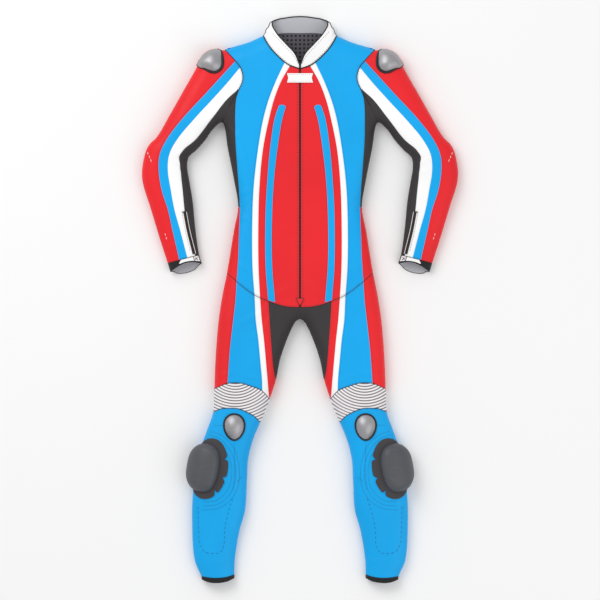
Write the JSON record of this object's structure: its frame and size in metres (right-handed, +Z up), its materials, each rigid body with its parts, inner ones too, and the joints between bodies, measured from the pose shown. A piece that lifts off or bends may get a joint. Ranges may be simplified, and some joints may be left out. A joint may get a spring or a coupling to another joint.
{
  "type": "motorcycle race suit",
  "caption": "One-piece leather motorcycle race suit laid flat, with stand-up collar, front zip, ribbed knee panels, knee sliders and shoulder cups.",
  "frame": {"origin": "on the surface the suit lies on, under the middle of its bounding box", "axes": "+Y from the feet to the collar, +X towards the wearer's left, +Z up from the surface, out of the suit's front"},
  "size_m": [0.8522, 1.5278, 0.0771],
  "materials": {
    "leather_white": "satin",
    "leather_red": "satin",
    "leather_blue": "satin",
    "leather_dark": "matte",
    "hem_black": "matte",
    "stretch_rib": "matte",
    "mesh_lining": "matte",
    "zip_black": "satin",
    "cup_silver": "satin",
    "slider_grey": "matte"
  },
  "bodies": {
    "root": {"collar": "leather_white", "neck_tab": "leather_white", "front_piping_r": "leather_white", "front_piping_l": "leather_white", "thigh_white_r": "leather_white", "thigh_white_l": "leather_white", "sleeve_white_r": "leather_white", "sleeve_white_l": "leather_white", "cuff_tab_r": "leather_white", "cuff_tab_l": "leather_white", "zip_end_patch": "leather_red", "front_center_r": "leather_red", "front_center_l": "leather_red", "hip_r": "leather_red", "hip_l": "leather_red", "thigh_outer_r": "leather_red", "thigh_outer_l": "leather_red", "thigh_stripe_r": "leather_red", "thigh_stripe_l": "leather_red", "sleeve_outer_r": "leather_red", "sleeve_outer_l": "leather_red", "sleeve_back_r": "leather_red", "sleeve_back_l": "leather_red", "back_body": "leather_blue", "seat": "leather_blue", "front_side_r": "leather_blue", "front_side_l": "leather_blue", "chest_stripe_r": "leather_blue", "chest_stripe_l": "leather_blue", "thigh_front_r": "leather_blue", "thigh_front_l": "leather_blue", "shin_r": "leather_blue", "shin_l": "leather_blue", "calf_r": "leather_blue", "calf_l": "leather_blue", "sleeve_blue_r": "leather_blue", "sleeve_blue_l": "leather_blue", "crotch": "leather_dark", "underarm_r": "leather_dark", "underarm_l": "leather_dark", "sleeve_inner_r": "leather_dark", "sleeve_inner_l": "leather_dark", "slider_pad_r": "leather_dark", "slider_pad_l": "leather_dark", "ankle_hem_r": "hem_black", "ankle_hem_l": "hem_black", "cuff_r": "hem_black", "cuff_l": "hem_black", "knee_stretch_r": "stretch_rib", "knee_stretch_l": "stretch_rib", "neck_lining": "mesh_lining", "front_zip": "zip_black", "sleeve_zip_r": "zip_black", "sleeve_zip_l": "zip_black", "knee_cup_r": "cup_silver", "knee_cup_l": "cup_silver", "shoulder_cup_r": "cup_silver", "shoulder_cup_l": "cup_silver", "slider_r": "slider_grey", "slider_l": "slider_grey"}
  },
  "joints": []
}
